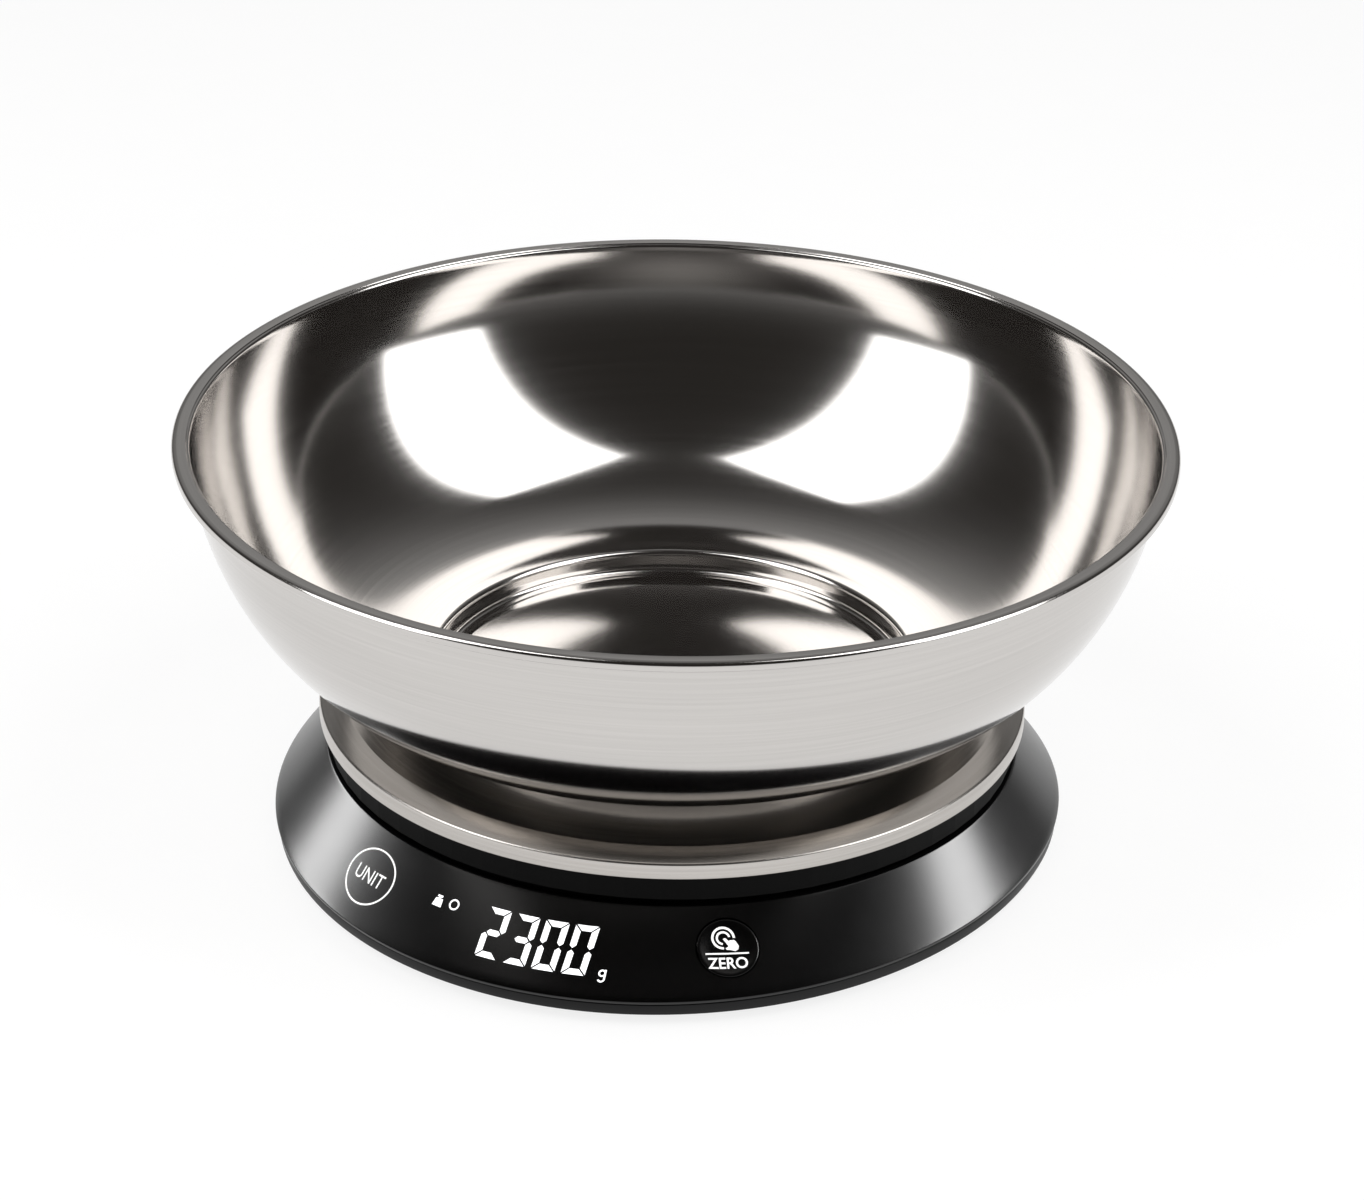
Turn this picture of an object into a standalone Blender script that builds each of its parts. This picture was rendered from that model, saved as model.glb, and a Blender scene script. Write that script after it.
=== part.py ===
# Round digital kitchen scale with a lift-off steel mixing bowl.
# Metres, +Z up. The origin is on the weighing axis at the height of the feet's soles,
# and the control panel faces -Y.

import math

import bmesh
import bpy
from mathutils import Matrix, Vector

mm = 0.001
gap = 0.3 * mm                      # clearance kept between pieces that touch

# body ring
neck_radius = 85.0 * mm             # top edge of the sloping ring
ring_top = 20.3 * mm
side_radius = 96.3 * mm             # foot of the sloping ring at the sides and back
ring_foot = 6.5 * mm
front_stretch = 1.10                # the ring reaches this much further at the control panel
seam_height = 5.3 * mm
base_bottom = 2.0 * mm
floor_top = 4.0 * mm
deck_low = 16.6 * mm
deck_high = 18.1 * mm

# weighing platform
plate_top = 33.6 * mm
plate_flat_radius = 80.6 * mm
plate_radius = 86.65 * mm
plate_skirt_low = 28.0 * mm
plate_thickness = 0.8 * mm
tray_top = plate_top - plate_thickness - gap
tray_thickness = 2.2 * mm
tray_wall_radius = 84.4 * mm
tray_wall_low = 21.5 * mm

# bowl
bowl_rim_radius = 120.0 * mm
bowl_height_top = 101.7 * mm
bowl_sheet = 0.8 * mm
bowl_foot_radius = 59.0 * mm
bowl_bottom = plate_top + gap
bowl_foot_height = 5.4 * mm

# load cell
beam_length = 70.0 * mm
beam_width = 12.0 * mm
beam_low = 5.9 * mm
beam_high = 15.3 * mm
beam_screw_spots = (22.0 * mm, 30.0 * mm)

# panel: angles are measured from -Y towards +X, places down the slope run from 0 (top) to 1 (foot)
zero_angle = 28.5
unit_angle = -30.5
display_angle = -1.0
panel_middle = 0.47
zero_radius = 7.2 * mm

# batteries
battery_radius = 5.25 * mm
battery_body_length = 43.7 * mm
battery_pitch = 11.0 * mm
battery_bay_middle_y = 34.0 * mm
battery_height = 9.0 * mm
bay_inner = (56.0 * mm, 34.6 * mm)
bay_wall = 2.2 * mm
door_ledge = 2.4 * mm
door_thickness = 1.3 * mm

# feet and case screws share these places
foot_ring = 74.0 * mm
foot_angles = (40.0, 140.0, 220.0, 320.0)
foot_radius = 7.0 * mm


def make_collection(name):
    collection = bpy.data.collections.new(name)
    bpy.context.scene.collection.children.link(collection)
    return collection


def make_material(name, color, roughness, metallic=0.0):
    material = bpy.data.materials.new(name)
    material.use_nodes = True
    shader = material.node_tree.nodes["Principled BSDF"]
    shader.inputs["Base Color"].default_value = (*color, 1.0)
    shader.inputs["Roughness"].default_value = roughness
    shader.inputs["Metallic"].default_value = metallic
    return material


def add_object(name, mesh, material=None):
    piece = bpy.data.objects.new(name, mesh)
    parts.objects.link(piece)
    if material:
        mesh.materials.append(material)
    return piece


def as_cutter(piece):
    parts.objects.unlink(piece)
    cutters.objects.link(piece)
    piece.hide_render = True
    piece.display_type = "WIRE"
    return piece


def weld(mesh):
    shape = bmesh.new()
    shape.from_mesh(mesh)
    bmesh.ops.remove_doubles(shape, verts=shape.verts, dist=1e-6)
    bmesh.ops.recalc_face_normals(shape, faces=shape.faces)
    shape.to_mesh(mesh)
    shape.free()


# Replaces an object's mesh by its evaluated one, with welded seams and faces out.
def freeze(piece):
    depsgraph = bpy.context.evaluated_depsgraph_get()
    mesh = bpy.data.meshes.new_from_object(piece.evaluated_get(depsgraph))
    piece.modifiers.clear()
    piece.data = mesh
    weld(mesh)
    return piece


def smooth(piece, angle=35.0):
    piece.data.shade_smooth()
    piece.data.set_sharp_from_angle(angle=math.radians(angle))
    return piece


# Turns an (r, z) outline about Z. A closed outline makes a ring.
def turned(name, profile, material=None, steps=64, closed=False):
    mesh = bpy.data.meshes.new(name)
    points = [(r, 0.0, z) for r, z in profile]
    edges = [(i, i + 1) for i in range(len(points) - 1)]
    if closed:
        edges.append((len(points) - 1, 0))
    mesh.from_pydata(points, edges, [])
    piece = add_object(name, mesh, material)
    screw = piece.modifiers.new("Turn", "SCREW")
    screw.axis = "Z"
    screw.steps = steps
    screw.render_steps = steps
    screw.use_merge_vertices = True
    screw.merge_threshold = 1e-5
    return smooth(freeze(piece))


# Draws the sloping ring out towards the control panel, without moving its neck.
def stretch_front(piece):
    for vertex in piece.data.vertices:
        x, y, z = vertex.co
        if y < 0.0:
            share = (math.hypot(x, y) - neck_radius) / (side_radius - neck_radius)
            share = min(max(share, 0.0), 1.1)
            vertex.co.y = y * (1.0 + (front_stretch - 1.0) * share)
    return piece


def box(name, size, center, material=None, turn=None, bevel=0.0):
    mesh = bpy.data.meshes.new(name)
    shape = bmesh.new()
    bmesh.ops.create_cube(shape, size=1.0)
    bmesh.ops.scale(shape, vec=size, verts=shape.verts)
    shape.to_mesh(mesh)
    shape.free()
    piece = add_object(name, mesh, material)
    piece.matrix_world = Matrix.Translation(center) @ (turn or Matrix.Identity(4))
    if bevel:
        edge = piece.modifiers.new("Edge", "BEVEL")
        edge.width = bevel
        edge.segments = 2
    return piece


def cylinder(name, radius, length, center, material=None, turn=None, sides=28):
    mesh = bpy.data.meshes.new(name)
    shape = bmesh.new()
    bmesh.ops.create_cone(shape, cap_ends=True, segments=sides, radius1=radius, radius2=radius,
                          depth=length)
    shape.to_mesh(mesh)
    shape.free()
    piece = add_object(name, mesh, material)
    piece.matrix_world = Matrix.Translation(center) @ (turn or Matrix.Identity(4))
    return smooth(piece)


def combine(piece, tool, operation="DIFFERENCE"):
    change = piece.modifiers.new(operation.title(), "BOOLEAN")
    change.object = as_cutter(tool)
    change.operation = operation
    change.solver = "EXACT"
    return piece


def between(name, radius, low, high, x, y, **options):
    return cylinder(name, radius, high - low, (x, y, (low + high) / 2), **options)


# A point on the sloping ring's outer face.
def ring_point(angle, down):
    radius = neck_radius + down * (side_radius - neck_radius)
    height = ring_top + down * (ring_foot - ring_top)
    x = radius * math.sin(math.radians(angle))
    y = -radius * math.cos(math.radians(angle))
    if y < 0.0:
        y *= 1.0 + (front_stretch - 1.0) * down
    return Vector((x, y, height))


# Axes on the sloping ring: X along it, Y up the slope, Z out of it.
def panel_turn(angle, down):
    step = 0.01
    along = (ring_point(angle + 1.0, down) - ring_point(angle - 1.0, down)).normalized()
    uphill = (ring_point(angle, down - step) - ring_point(angle, down + step)).normalized()
    out = along.cross(uphill).normalized()
    uphill = out.cross(along)
    return Matrix((along, uphill, out)).transposed().to_4x4()


# A place below the ring's outer face by depth, straight in.
def on_panel(angle, down, depth):
    out = panel_turn(angle, down).to_3x3() @ Vector((0.0, 0.0, 1.0))
    return ring_point(angle, down) - out * depth


# A wire through a short route, smoothed by a Catmull-Rom curve.
def curve_tube(name, route, radius, material, samples=14):
    ends = [2 * route[0] - route[1], *route, 2 * route[-1] - route[-2]]
    spans = len(route) - 1
    points = []
    for i in range(samples + 1):
        place = min(i * spans / samples, spans - 1e-9)
        k = int(place)
        t = place - k
        a, b, c, d = ends[k:k + 4]
        points.append(0.5 * (2 * b + (c - a) * t + (2 * a - 5 * b + 4 * c - d) * t ** 2
                             + (3 * b - a - 3 * c + d) * t ** 3))
    return wire(name, points, radius, material)


def wire(name, points, radius, material):
    curve = bpy.data.curves.new(name, "CURVE")
    curve.dimensions = "3D"
    curve.bevel_depth = radius
    curve.bevel_resolution = 2
    curve.use_fill_caps = True
    spline = curve.splines.new("POLY")
    spline.points.add(len(points) - 1)
    for point, place in zip(spline.points, points):
        point.co = (*place, 1.0)
    guide = bpy.data.objects.new(name, curve)
    parts.objects.link(guide)
    depsgraph = bpy.context.evaluated_depsgraph_get()
    mesh = bpy.data.meshes.new_from_object(guide.evaluated_get(depsgraph))
    bpy.data.objects.remove(guide)
    weld(mesh)
    return smooth(add_object(name, mesh, material))


# A coil spring from base to top, with as many points as its turns need.
def coil(name, base, top, radius_base, radius_top, turns, wire_radius, material):
    axis = (top - base)
    across = axis.orthogonal().normalized()
    other = axis.cross(across).normalized()
    steps = int(turns * 9)
    points = []
    for i in range(steps + 1):
        share = i / steps
        turn = share * turns * 2 * math.pi
        radius = radius_base + share * (radius_top - radius_base)
        points.append(base + axis * share + radius * (math.cos(turn) * across + math.sin(turn) * other))
    return wire(name, points, wire_radius, material)


def bezier(p0, p1, p2, p3, count):
    points = []
    for i in range(count + 1):
        t = i / count
        u = 1 - t
        points.append(tuple(u ** 3 * a + 3 * u * u * t * b + 3 * u * t * t * c + t ** 3 * d
                            for a, b, c, d in zip(p0, p1, p2, p3)))
    return points


# The wall from under the rim to the foot's crease, moved inwards by offset.
def bowl_wall(offset, count=8):
    crease = bowl_bottom + bowl_foot_height
    outline = bezier((116.6 * mm, 100.0 * mm), (113.6 * mm, 71.2 * mm), (94.0 * mm, 40.2 * mm),
                     (bowl_foot_radius + 0.9 * mm, crease + 0.1 * mm), count)
    moved = []
    for i, (r, z) in enumerate(outline):
        before = outline[max(i - 1, 0)]
        after = outline[min(i + 1, count)]
        run = math.hypot(after[0] - before[0], after[1] - before[1])
        moved.append((r + offset * (after[1] - before[1]) / run, z - offset * (after[0] - before[0]) / run))
    return moved


def make_bowl():
    t = bowl_sheet
    low = bowl_bottom
    foot = bowl_foot_radius
    flange = bowl_height_top
    inside = [(0.0, low + 0.5 * mm + t), (foot - 5.6 * mm, low + 0.5 * mm + t), (foot - 2.6 * mm, low + t),
              (foot - t, low + t + 1.6 * mm), (foot - t + 0.1 * mm, low + 4.6 * mm)]
    inside += list(reversed(bowl_wall(t)))
    rim = [(116.5 * mm, flange - 0.3 * mm), (118.6 * mm, flange), (bowl_rim_radius, flange - 1.0 * mm),
           (bowl_rim_radius, flange - 2.2 * mm), (119.3 * mm, flange - 2.2 * mm), (118.5 * mm, flange - 0.9 * mm),
           (117.2 * mm, flange - 1.0 * mm)]
    outside = bowl_wall(0.0)
    outside += [(foot + 0.1 * mm, low + 4.6 * mm), (foot, low + 2.0 * mm), (foot - 2.0 * mm, low),
                (foot - 3.4 * mm, low), (foot - 6.2 * mm, low + 0.5 * mm), (0.0, low + 0.5 * mm)]
    turned("bowl", inside + rim + outside, bright_steel, steps=60)


def make_platform():
    t = plate_thickness
    top = plate_top
    outline = [(0.0, top), (plate_flat_radius, top), (86.1 * mm, top - 1.4 * mm),
               (plate_radius, top - 1.9 * mm), (plate_radius, plate_skirt_low),
               (plate_radius - t, plate_skirt_low), (plate_radius - t, top - 2.2 * mm),
               (plate_flat_radius - 0.1 * mm, top - t), (0.0, top - t)]
    turned("platform_plate", outline, brushed_steel, steps=64)

    under = tray_top - tray_thickness
    wall = tray_wall_radius
    outline = [(0.0, tray_top), (80.0 * mm, tray_top), (85.3 * mm, tray_top - 1.7 * mm),
               (85.4 * mm, plate_skirt_low + 0.6 * mm), (wall, plate_skirt_low + 0.1 * mm),
               (wall, tray_wall_low), (wall - 2.2 * mm, tray_wall_low), (wall - 2.2 * mm, under), (0.0, under)]
    tray = turned("platform_tray", outline, black_plastic, steps=60)
    boss_low = deck_high - 0.1 * mm
    boss = box("tray_boss", (20 * mm, 14 * mm, under - boss_low + 0.4 * mm),
               (26 * mm, 0.0, (under + boss_low + 0.4 * mm) / 2))
    combine(tray, boss, "UNION")
    for i in range(6):
        angle = math.radians(30 + 60 * i)
        middle = 46 * mm
        rib = box(f"tray_rib_{i}", (74 * mm, 1.6 * mm, 2.4 * mm),
                  (middle * math.cos(angle), middle * math.sin(angle), under - 0.8 * mm),
                  turn=Matrix.Rotation(angle, 4, "Z"))
        combine(tray, rib, "UNION")
    for i, x in enumerate(beam_screw_spots):
        combine(tray, between(f"tray_hole_{i}", 1.9 * mm, boss_low - 1 * mm, tray_top + 1 * mm, x, 0.0, sides=16))
        combine(tray, between(f"tray_recess_{i}", 3.5 * mm, tray_top - 1.7 * mm, tray_top + 1 * mm, x, 0.0,
                              sides=16))
        head = [(0.0, tray_top - 0.3 * mm), (2.6 * mm, tray_top - 0.3 * mm), (3.1 * mm, tray_top - 0.8 * mm),
                (3.1 * mm, tray_top - 1.4 * mm), (1.6 * mm, tray_top - 1.4 * mm), (1.6 * mm, 11.0 * mm),
                (1.0 * mm, 10.4 * mm), (0.0, 10.4 * mm)]
        screw = turned(f"platform_screw_{i + 1}", head, zinc, steps=12)
        screw.location.x = x
        slot = box(f"platform_screw_slot_{i}", (5.0 * mm, 0.8 * mm, 1.2 * mm), (x, 0.0, tray_top - 0.2 * mm))
        combine(screw, slot)

    pad = box("load_cell_top_pad", (19 * mm, beam_width, 1.7 * mm), (26 * mm, 0.0, 16.85 * mm), zinc)
    for i, x in enumerate(beam_screw_spots):
        combine(pad, between(f"top_pad_hole_{i}", 1.9 * mm, 15 * mm, 18 * mm, x, 0.0, sides=16))


def make_body():
    fascia_outline = [(83.4 * mm, 20.0 * mm), (84.3 * mm, 20.35 * mm), (neck_radius, ring_top - 0.05 * mm),
                      (95.9 * mm, 7.0 * mm), (side_radius, ring_foot - 0.1 * mm),
                      (96.1 * mm, seam_height + 0.3 * mm), (94.7 * mm, seam_height + 0.3 * mm),
                      (94.4 * mm, 6.4 * mm), (84.1 * mm, 18.4 * mm), (83.4 * mm, 18.4 * mm)]
    fascia = stretch_front(turned("fascia_ring", fascia_outline, gloss_black, steps=72, closed=True))
    hole_turn = panel_turn(zero_angle, panel_middle)
    hole = cylinder("zero_hole", zero_radius + gap, 12 * mm, ring_point(zero_angle, panel_middle), turn=hole_turn)
    combine(fascia, hole)

    collar = 79.0 * mm
    outline = [(0.0, deck_high), (collar, deck_high), (collar, 23.4 * mm), (collar + 1.6 * mm, 23.4 * mm),
               (collar + 1.6 * mm, deck_high), (83.7 * mm, deck_high), (93.6 * mm, 6.6 * mm),
               (92.2 * mm, 6.6 * mm), (83.0 * mm, deck_low), (0.0, deck_low)]
    housing = stretch_front(turned("upper_housing", outline, black_plastic, steps=64))
    combine(housing, box("beam_opening", (28 * mm, 19 * mm, 6 * mm), (26 * mm, 0.0, 17 * mm)))
    combine(housing, box("panel_opening", (112 * mm, 42 * mm, deck_low - 0.2 * mm - 4 * mm),
                         (0.0, -91 * mm, (deck_low - 0.2 * mm + 4 * mm) / 2)))
    room = cylinder("zero_room", zero_radius + 1.3 * mm, 16 * mm, ring_point(zero_angle, panel_middle),
                    turn=hole_turn)
    combine(housing, room)
    for i, angle in enumerate(foot_angles):
        x = foot_ring * math.cos(math.radians(angle))
        y = foot_ring * math.sin(math.radians(angle))
        combine(housing, between(f"pillar_{i}", 4.0 * mm, 6.3 * mm, deck_low + 0.5 * mm, x, y, sides=16), "UNION")
        combine(housing, between(f"pilot_{i}", 1.6 * mm, 5 * mm, 14.5 * mm, x, y, sides=12))


def make_bottom_cover():
    outline = [(0.0, floor_top), (93.4 * mm, floor_top), (93.9 * mm, seam_height), (95.9 * mm, seam_height),
               (95.6 * mm, base_bottom + 0.7 * mm), (94.9 * mm, base_bottom), (0.0, base_bottom)]
    cover = stretch_front(turned("bottom_cover", outline, black_plastic, steps=64))

    bay_top = 16.2 * mm
    bay_y = battery_bay_middle_y
    outer = (bay_inner[0] + 2 * bay_wall, bay_inner[1] + 2 * bay_wall)
    combine(cover, box("bay_block", (outer[0], outer[1], bay_top - 3 * mm), (0.0, bay_y, (bay_top + 3 * mm) / 2)),
            "UNION")
    combine(cover, box("bay_hollow", (bay_inner[0], bay_inner[1], 14.6 * mm), (0.0, bay_y, 7.3 * mm)))
    door_size = (bay_inner[0] + 2 * door_ledge, bay_inner[1] + 2 * door_ledge)
    recess_top = base_bottom + door_thickness + gap
    combine(cover, box("door_recess", (door_size[0] + 2 * gap, door_size[1] + 2 * gap, 4 * mm),
                       (0.0, bay_y, recess_top - 2 * mm)))
    for i, angle in enumerate(foot_angles):
        x = foot_ring * math.cos(math.radians(angle))
        y = foot_ring * math.sin(math.radians(angle))
        combine(cover, between(f"foot_boss_{i}", 5.6 * mm, 3 * mm, 6.0 * mm, x, y, sides=20), "UNION")
        combine(cover, between(f"foot_recess_{i}", foot_radius + gap, 1 * mm, 2.7 * mm, x, y))
        combine(cover, between(f"head_pocket_{i}", 3.2 * mm, 1 * mm, 4.4 * mm, x, y, sides=16))
        combine(cover, between(f"screw_way_{i}", 1.6 * mm, 1 * mm, 7 * mm, x, y, sides=12))
        foot = turned(f"foot_{i + 1}", [(0.0, 2.4 * mm), (6.7 * mm, 2.4 * mm), (foot_radius, 2.1 * mm),
                                        (foot_radius, 0.5 * mm), (6.5 * mm, 0.0), (0.0, 0.0)], rubber, steps=20)
        foot.location = (x, y, 0.0)
        screw = turned(f"case_screw_{i + 1}", [(0.0, 12.5 * mm), (0.7 * mm, 12.3 * mm), (1.25 * mm, 11.5 * mm),
                                               (1.25 * mm, 4.1 * mm), (2.8 * mm, 4.1 * mm), (2.8 * mm, 3.3 * mm),
                                               (2.3 * mm, 2.9 * mm), (0.0, 2.9 * mm)], zinc, steps=12)
        screw.location = (x, y, 0.0)

    for i, x in enumerate(beam_screw_spots):
        combine(cover, between(f"cell_recess_{i}", 3.5 * mm, 1 * mm, 3.0 * mm, -x, 0.0, sides=16))
        combine(cover, between(f"cell_way_{i}", 1.9 * mm, 1 * mm, 5 * mm, -x, 0.0, sides=12))
    stop = between("overload_stop", 3.0 * mm, 3 * mm, beam_low - 0.6 * mm, 30 * mm, 0.0, sides=20)
    combine(cover, stop, "UNION")
    for i, x in enumerate((-24 * mm, 24 * mm)):
        combine(cover, between(f"board_post_{i}", 2.6 * mm, 3 * mm, 6.0 * mm, x, -44 * mm, sides=16), "UNION")
        combine(cover, between(f"board_post_hole_{i}", 1.2 * mm, 3.5 * mm, 8 * mm, x, -44 * mm, sides=12))

    door = box("battery_door", (door_size[0], door_size[1], door_thickness),
               (0.0, bay_y, base_bottom + door_thickness / 2), black_plastic)
    latch = box("door_finger_notch", (14 * mm, 3 * mm, 0.8 * mm),
                (0.0, bay_y + door_size[1] / 2 - 2 * mm, base_bottom + 0.1 * mm))
    combine(door, latch)
    for i in range(5):
        groove = box(f"door_grip_{i}", (12 * mm, 0.7 * mm, 0.6 * mm),
                     (0.0, bay_y + door_size[1] / 2 - (6 + 1.6 * i) * mm, base_bottom + 0.1 * mm))
        combine(door, groove)
    hinge_y = bay_y - door_size[1] / 2
    door.matrix_world = Matrix.Translation((0.0, hinge_y, base_bottom))
    for vertex in door.data.vertices:
        vertex.co += Vector((0.0, door_size[1] / 2, door_thickness / 2))


def make_load_cell():
    middle = (beam_low + beam_high) / 2
    beam = box("load_cell", (beam_length, beam_width, beam_high - beam_low), (0.0, 0.0, middle), aluminium,
               bevel=0.4 * mm)
    across = Matrix.Rotation(math.pi / 2, 4, "X")
    window = cylinder("beam_window", 2.9 * mm, 20 * mm, (-6 * mm, 0.0, middle), turn=across, sides=20)
    combine(beam, window)
    combine(beam, cylinder("beam_window_other", 2.9 * mm, 20 * mm, (6 * mm, 0.0, middle), turn=across, sides=20))
    combine(beam, box("beam_window_slot", (12 * mm, 20 * mm, 3.0 * mm), (0.0, 0.0, middle)))
    for i, x in enumerate(beam_screw_spots):
        combine(beam, between(f"beam_hole_top_{i}", 1.95 * mm, 9.6 * mm, 17 * mm, x, 0.0, sides=16))
        combine(beam, between(f"beam_hole_low_{i}", 1.95 * mm, 4 * mm, 13.0 * mm, -x, 0.0, sides=16))
        outline = [(0.0, 12.4 * mm), (1.0 * mm, 12.4 * mm), (1.6 * mm, 11.8 * mm), (1.6 * mm, 2.75 * mm),
                   (3.1 * mm, 2.75 * mm), (3.1 * mm, 2.15 * mm), (0.0, 2.15 * mm)]
        screw = turned(f"load_cell_screw_{i + 1}", outline, zinc, steps=12)
        screw.location.x = -x
    pad = box("load_cell_base_pad", (19 * mm, beam_width, 1.3 * mm), (-26 * mm, 0.0, 4.95 * mm), zinc)
    for i, x in enumerate(beam_screw_spots):
        combine(pad, between(f"base_pad_hole_{i}", 1.9 * mm, 4 * mm, 6 * mm, -x, 0.0, sides=16))
    box("strain_gauge_coating", (20 * mm, 8 * mm, 0.8 * mm), (0.0, 0.0, beam_high + 0.7 * mm), silicone,
        bevel=0.3 * mm)


def make_electronics():
    board_top = 7.5 * mm
    board = box("main_board", (58 * mm, 26 * mm, 1.2 * mm), (0.0, -44 * mm, board_top - 0.6 * mm),
                circuit_green)
    for i, x in enumerate((-24 * mm, 24 * mm)):
        combine(board, between(f"board_hole_{i}", 1.3 * mm, 5 * mm, 9 * mm, x, -44 * mm, sides=12))
        outline = [(0.0, 9.0 * mm), (1.6 * mm, 8.8 * mm), (2.0 * mm, 8.2 * mm), (2.0 * mm, 7.8 * mm),
                   (0.9 * mm, 7.8 * mm), (0.9 * mm, 4.4 * mm), (0.0, 4.0 * mm)]
        screw = turned(f"board_screw_{i + 1}", outline, zinc, steps=12)
        screw.location = (x, -44 * mm, 0.0)
    box("controller_chip", (9 * mm, 9 * mm, 1.2 * mm), (4 * mm, -45 * mm, board_top + 0.9 * mm),
        chip_black, bevel=0.2 * mm)
    box("display_connector", (16 * mm, 4 * mm, 3.0 * mm), (-2 * mm, -54 * mm, board_top + 1.8 * mm),
        ivory_plastic)

    turn = panel_turn(display_angle, panel_middle)
    box("display_module", (42 * mm, 12 * mm, 2.2 * mm), on_panel(display_angle, panel_middle, 4.9 * mm),
        display_black, turn=turn)
    box("display_board", (46 * mm, 13 * mm, 1.0 * mm), on_panel(display_angle, panel_middle, 6.8 * mm),
        circuit_green, turn=turn)

    turn = panel_turn(zero_angle, panel_middle)
    box("zero_switch", (6 * mm, 6 * mm, 2.2 * mm), on_panel(zero_angle, panel_middle, 5.3 * mm),
        chip_black, turn=turn)
    box("key_board", (15 * mm, 9 * mm, 1.0 * mm), on_panel(zero_angle, panel_middle, 7.2 * mm),
        circuit_green, turn=turn)

    plate_place = on_panel(unit_angle, panel_middle, 2.6 * mm)
    turn = panel_turn(unit_angle, panel_middle)
    cylinder("unit_touch_pad", 6.0 * mm, 0.6 * mm, plate_place, copper, turn=turn)
    spring_top = on_panel(unit_angle, panel_middle, 3.3 * mm)
    spring_low = on_panel(unit_angle, panel_middle, 6.1 * mm)
    coil("unit_touch_spring", spring_low, spring_top, 3.2 * mm, 3.2 * mm, 3.0, 0.3 * mm, copper)
    box("touch_board", (13 * mm, 9 * mm, 1.0 * mm), on_panel(unit_angle, panel_middle, 7.2 * mm),
        circuit_green, turn=turn)


def make_zero_button():
    r = zero_radius
    outline = [(0.0, -0.35 * mm), (4.8 * mm, -0.3 * mm), (r - 1.1 * mm, 0.05 * mm),
               (r - 0.5 * mm, 0.1 * mm), (r, -0.3 * mm), (r, -2.2 * mm), (r + 0.7 * mm, -2.2 * mm),
               (r + 0.7 * mm, -2.8 * mm), (2.0 * mm, -2.8 * mm), (2.0 * mm, -3.5 * mm), (0.0, -3.5 * mm)]
    button = turned("zero_button", outline, gloss_black, steps=32)
    turn = panel_turn(zero_angle, panel_middle)
    button.matrix_world = Matrix.Translation(ring_point(zero_angle, panel_middle)) @ turn


def make_batteries():
    along = Matrix.Rotation(math.pi / 2, 4, "Y")
    end = bay_inner[0] / 2
    for i in range(3):
        y = battery_bay_middle_y + (i - 1) * battery_pitch
        facing = 1 if i != 1 else -1
        body = battery_body_length
        outline = [(0.0, body + 0.8 * mm), (1.8 * mm, body + 0.8 * mm), (1.9 * mm, body),
                   (battery_radius - 0.5 * mm, body), (battery_radius, body - 0.6 * mm),
                   (battery_radius, 0.4 * mm), (battery_radius - 0.5 * mm, 0.0), (0.0, 0.0)]
        cell = turned(f"battery_{i + 1}", outline, battery_jacket, steps=20)
        cell.matrix_world = (Matrix.Translation((0.0, y, battery_height))
                             @ Matrix.Rotation(0.0 if facing > 0 else math.pi, 4, "Z") @ along
                             @ Matrix.Translation((0.0, 0.0, end - 1.1 * mm - body - 0.8 * mm)))
        spring_low = Vector((-facing * (end - 0.95 * mm), y, battery_height))
        spring_top = Vector((facing * (end - 1.1 * mm - body - 0.8 * mm - 0.7 * mm), y, battery_height))
        coil(f"battery_spring_{i + 1}", spring_low, spring_top, 3.6 * mm, 2.2 * mm, 3.0, 0.3 * mm, nickel)
    # the cells stand in series: each bridge joins two of them, each terminal ends the row
    contacts = (("terminal_minus", -1, -1.0, 8.0 * mm), ("bridge_right", 1, -0.5, 19.0 * mm),
                ("bridge_left", -1, 0.5, 19.0 * mm), ("terminal_plus", 1, 1.0, 8.0 * mm))
    for name, side, row, width in contacts:
        y = battery_bay_middle_y + row * battery_pitch
        box(f"battery_{name}", (0.3 * mm, width, 8 * mm), (side * (end - 0.45 * mm), y, battery_height),
            nickel)


def make_wires():
    cable = [Vector((-9 * mm, -6.7 * mm, 11 * mm)), Vector((-9 * mm, -10 * mm, 11.5 * mm)),
             Vector((-13 * mm, -18 * mm, 12.5 * mm)), Vector((-15 * mm, -27 * mm, 11.5 * mm)),
             Vector((-15 * mm, -34 * mm, 8.9 * mm))]
    curve_tube("load_cell_cable", cable, 0.9 * mm, white_insulation)
    ribbon_start = Vector((-2 * mm, -56.5 * mm, 9.5 * mm))
    ribbon = [ribbon_start, Vector((-2 * mm, -62 * mm, 10.0 * mm)), Vector((-2 * mm, -72 * mm, 8.2 * mm)),
              Vector((-2 * mm, -82.5 * mm, 7.4 * mm))]
    curve_tube("display_cable", ribbon, 0.9 * mm, white_insulation)
    wall = bay_inner[0] / 2 + bay_wall + gap + 0.1 * mm
    leads = (("red", 1, 45 * mm, red_insulation), ("black", -1, 23 * mm, black_insulation))
    for name, side, y, material in leads:
        route = [Vector((side * wall, y, 10 * mm)), Vector((side * 38 * mm, y - 6 * mm, 10 * mm)),
                 Vector((side * 41 * mm, 6 * mm, 9 * mm)), Vector((side * 40 * mm, -18 * mm, 8.6 * mm)),
                 Vector((side * 33 * mm, -33 * mm, 8.8 * mm)), Vector((side * 27 * mm, -37 * mm, 8.7 * mm))]
        curve_tube(f"battery_wire_{name}", route, 0.7 * mm, material, samples=20)


for old in list(bpy.data.objects):
    bpy.data.objects.remove(old, do_unlink=True)

parts = make_collection("kitchen_scale")
cutters = make_collection("cutters")

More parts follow.
